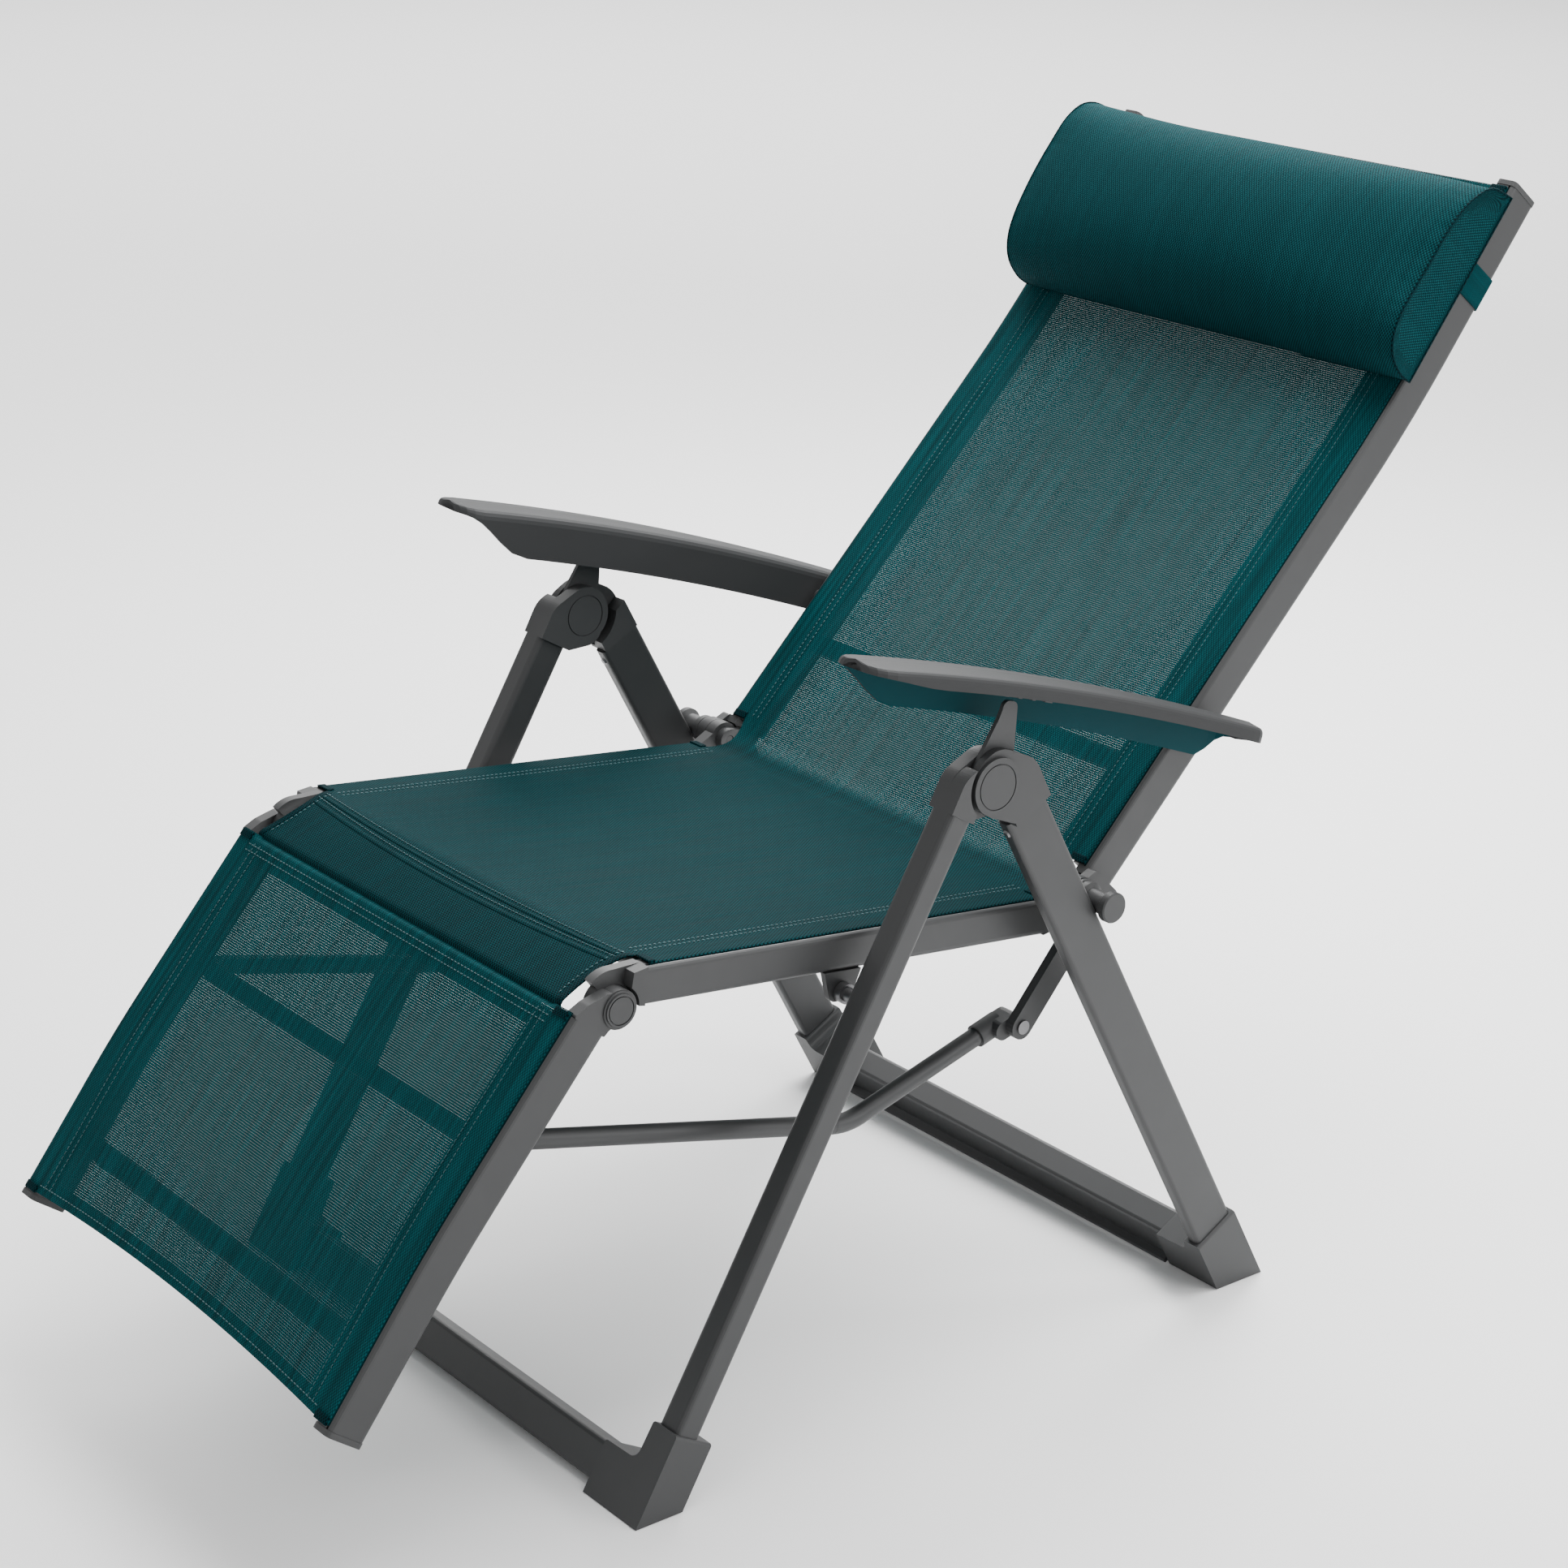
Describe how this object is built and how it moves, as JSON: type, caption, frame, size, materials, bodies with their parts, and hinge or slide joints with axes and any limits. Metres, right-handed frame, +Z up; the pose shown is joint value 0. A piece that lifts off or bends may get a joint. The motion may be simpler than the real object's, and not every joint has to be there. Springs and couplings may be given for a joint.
{
  "type": "folding reclining lounge chair",
  "caption": "Folding relax armchair with a reclining sling back, a linked footrest, moulded armrests on braced leg frames and a strapped head cushion.",
  "frame": {"origin": "on the floor under the middle of the chair's bounding box", "axes": "+Z up; +Y from the footrest towards the head end; X across the chair, x = 0 is the plane of symmetry and +X is the sitter's left"},
  "size_m": [0.6544, 1.321, 1.0341],
  "materials": {
    "frame": "grey powder coat, satin",
    "casting": "satin",
    "arm_plastic": "matte",
    "sling": "woven",
    "cushion": "woven",
    "strap": "woven",
    "steel": "brushed"
  },
  "bodies": {
    "front_legs": {"front_leg_left": "frame", "front_leg_right": "frame", "front_head_left": "casting", "front_head_right": "casting", "front_shoe_left": "casting", "front_shoe_right": "casting", "front_floor_bar": "frame", "arm_support_left": "casting", "arm_support_right": "casting", "leg_joint_pins": "steel", "seat_pivot_pins": "steel"},
    "rear_legs": {"rear_leg_left": "frame", "rear_leg_right": "frame", "rear_head_left": "casting", "rear_head_right": "casting", "rear_shoe_left": "casting", "rear_shoe_right": "casting", "rear_floor_bar": "frame", "rear_leg_screws": "steel"},
    "seat": {"seat_rail_left": "frame", "seat_rail_right": "frame", "seat_knee_left": "casting", "seat_knee_right": "casting", "seat_eye_left": "casting", "seat_eye_right": "casting", "seat_hanger_left": "casting", "seat_hanger_right": "casting", "spool_left": "casting", "spool_right": "casting", "seat_crossbar": "frame", "seat_sling": "sling"},
    "backrest": {"back_rail_left": "frame", "back_rail_right": "frame", "back_eye_left": "casting", "back_eye_right": "casting", "lever_left": "casting", "lever_right": "casting", "back_crossbar_low": "frame", "back_crossbar_top": "frame", "back_caps": "casting", "arm_joint_studs": "steel", "back_sling": "sling", "head_cushion": "cushion", "cushion_strap": "strap"},
    "push_bar": {"push_bar": "frame", "push_ends": "casting", "push_pins": "steel"},
    "footrest": {"foot_rail_left": "frame", "foot_rail_right": "frame", "foot_knee_left": "casting", "foot_knee_right": "casting", "knee_pins": "steel", "foot_caps": "casting", "foot_crossbar": "frame", "foot_forks": "casting", "foot_sling": "sling"},
    "armrest_left": {"armrest_left": "arm_plastic", "arm_rack_left": "casting"},
    "armrest_right": {"armrest_right": "arm_plastic", "arm_rack_right": "casting"}
  },
  "joints": [
    {"name": "leg_fold", "type": "hinge", "parent": "front_legs", "child": "rear_legs", "pos_m": [0, -0.0357, 0.573], "axis": [-1, 0, 0], "range_deg": [0, 50]},
    {"name": "seat_fold", "type": "hinge", "parent": "front_legs", "child": "seat", "pos_m": [0, -0.15567, 0.40009], "axis": [-1, 0, 0], "range_deg": [0, 93]},
    {"name": "back_recline", "type": "hinge", "parent": "seat", "child": "backrest", "pos_m": [0, 0.10957, 0.43126], "axis": [-1, 0, 0], "range_deg": [-12, 24]},
    {"name": "foot_lift", "type": "hinge", "parent": "seat", "child": "footrest", "pos_m": [0, -0.38527, 0.44037], "axis": [-1, 0, 0], "range_deg": [-16.3, 32.5]},
    {"name": "push_swing", "type": "hinge", "parent": "backrest", "child": "push_bar", "pos_m": [0, 0.06888, 0.30527], "axis": [-1, 0, 0], "range_deg": [-19.4, 9.8]},
    {"name": "arm_glide_left", "type": "hinge", "parent": "front_legs", "child": "armrest_left", "pos_m": [0, -0.13066, 0.25206], "axis": [-1, 0, 0], "range_deg": [-4.6, 9]},
    {"name": "arm_glide_right", "type": "hinge", "parent": "front_legs", "child": "armrest_right", "pos_m": [0, -0.13066, 0.25206], "axis": [-1, 0, 0], "range_deg": [-4.6, 9]}
  ],
  "couplings": [
    {"joint": "seat_fold", "follows": "leg_fold", "ratio": 1.855},
    {"joint": "foot_lift", "follows": "back_recline", "ratio": 1.3473},
    {"joint": "push_swing", "follows": "back_recline", "ratio": -0.8005},
    {"joint": "arm_glide_left", "follows": "back_recline", "ratio": 0.3704},
    {"joint": "arm_glide_right", "follows": "back_recline", "ratio": 0.3704}
  ]
}
